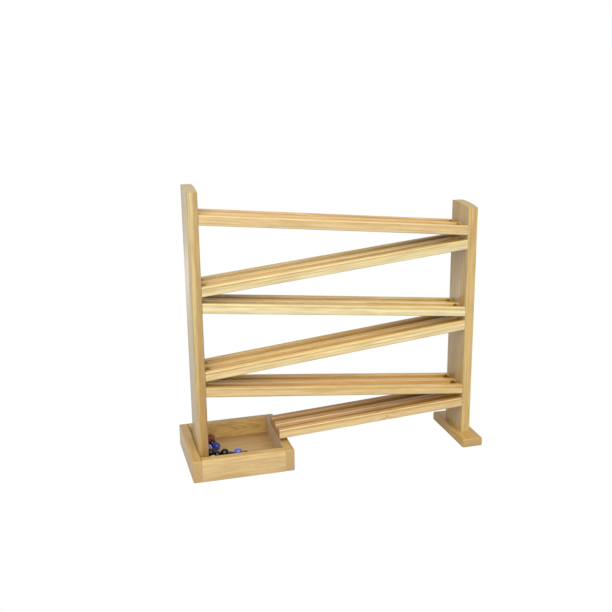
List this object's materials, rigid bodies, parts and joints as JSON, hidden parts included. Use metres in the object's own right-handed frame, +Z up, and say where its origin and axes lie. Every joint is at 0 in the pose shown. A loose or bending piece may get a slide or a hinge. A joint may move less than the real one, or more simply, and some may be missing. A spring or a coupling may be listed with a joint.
{
  "type": "marble run",
  "caption": "Wooden zigzag marble run: sloping twin-grooved rails between two uprights, with drop holes at their low ends and a catch tray holding loose glass marbles.",
  "frame": {"origin": "middle of the bounding box of the footprint, on the surface the toy stands on", "axes": "+X along the rails, from the catch tray towards the foot; +Y towards the back, where the tray reaches further out than in front; +Z up"},
  "size_m": [0.5616, 0.1764, 0.521],
  "materials": {
    "varnished_wood": "light close-grained board with a thin satin varnish",
    "plywood": "thin sanded plywood panel",
    "dowel_wood": "plain turned dowel, unfinished",
    "screw_steel": "bright plated countersunk wood screw",
    "glass_red": "dark red glass marble",
    "glass_black": "near-black glass marble",
    "glass_deep_blue": "deep blue glass marble",
    "glass_pale_blue": "pale blue glass marble",
    "glass_white": "milky white glass marble",
    "glass_blue": "blue glass marble",
    "glass_amber": "amber glass marble"
  },
  "bodies": {
    "frame": {"left_upright": "varnished_wood", "right_upright": "varnished_wood", "rail_1": "varnished_wood", "rail_2": "varnished_wood", "rail_3": "varnished_wood", "rail_4": "varnished_wood", "rail_5": "varnished_wood", "rail_6": "varnished_wood", "foot": "varnished_wood", "tray_left_wall": "varnished_wood", "tray_right_wall": "varnished_wood", "tray_front_wall": "varnished_wood", "tray_back_wall": "varnished_wood", "tray_floor": "plywood", "left_rail_dowels": "dowel_wood", "right_rail_dowels": "dowel_wood", "last_rail_peg": "dowel_wood", "tray_corner_dowels": "dowel_wood", "upright_dowels": "dowel_wood", "foot_screws": "screw_steel"},
    "marble_red": {"marble_red": "glass_red"},
    "marble_black_back": {"marble_black_back": "glass_black"},
    "marble_deep_blue": {"marble_deep_blue": "glass_deep_blue"},
    "marble_pale_blue": {"marble_pale_blue": "glass_pale_blue"},
    "marble_black_side": {"marble_black_side": "glass_black"},
    "marble_black_near": {"marble_black_near": "glass_black"},
    "marble_white": {"marble_white": "glass_white"},
    "marble_black_middle": {"marble_black_middle": "glass_black"},
    "marble_black_front": {"marble_black_front": "glass_black"},
    "marble_blue": {"marble_blue": "glass_blue"},
    "marble_amber": {"marble_amber": "glass_amber"}
  },
  "joints": [
    {"name": "marble_red_lift", "type": "slide", "parent": "frame", "child": "marble_red", "axis": [0, 0, 1], "range_m": [0, 0.07]},
    {"name": "marble_black_back_lift", "type": "slide", "parent": "frame", "child": "marble_black_back", "axis": [0, 0, 1], "range_m": [0, 0.07]},
    {"name": "marble_deep_blue_lift", "type": "slide", "parent": "frame", "child": "marble_deep_blue", "axis": [0, 0, 1], "range_m": [0, 0.07]},
    {"name": "marble_pale_blue_lift", "type": "slide", "parent": "frame", "child": "marble_pale_blue", "axis": [0, 0, 1], "range_m": [0, 0.07]},
    {"name": "marble_black_side_lift", "type": "slide", "parent": "frame", "child": "marble_black_side", "axis": [0, 0, 1], "range_m": [0, 0.07]},
    {"name": "marble_black_near_lift", "type": "slide", "parent": "frame", "child": "marble_black_near", "axis": [0, 0, 1], "range_m": [0, 0.07]},
    {"name": "marble_white_lift", "type": "slide", "parent": "frame", "child": "marble_white", "axis": [0, 0, 1], "range_m": [0, 0.07]},
    {"name": "marble_black_middle_lift", "type": "slide", "parent": "frame", "child": "marble_black_middle", "axis": [0, 0, 1], "range_m": [0, 0.07]},
    {"name": "marble_black_front_lift", "type": "slide", "parent": "frame", "child": "marble_black_front", "axis": [0, 0, 1], "range_m": [0, 0.07]},
    {"name": "marble_blue_lift", "type": "slide", "parent": "frame", "child": "marble_blue", "axis": [0, 0, 1], "range_m": [0, 0.07]},
    {"name": "marble_amber_lift", "type": "slide", "parent": "frame", "child": "marble_amber", "axis": [0, 0, 1], "range_m": [0, 0.07]}
  ]
}
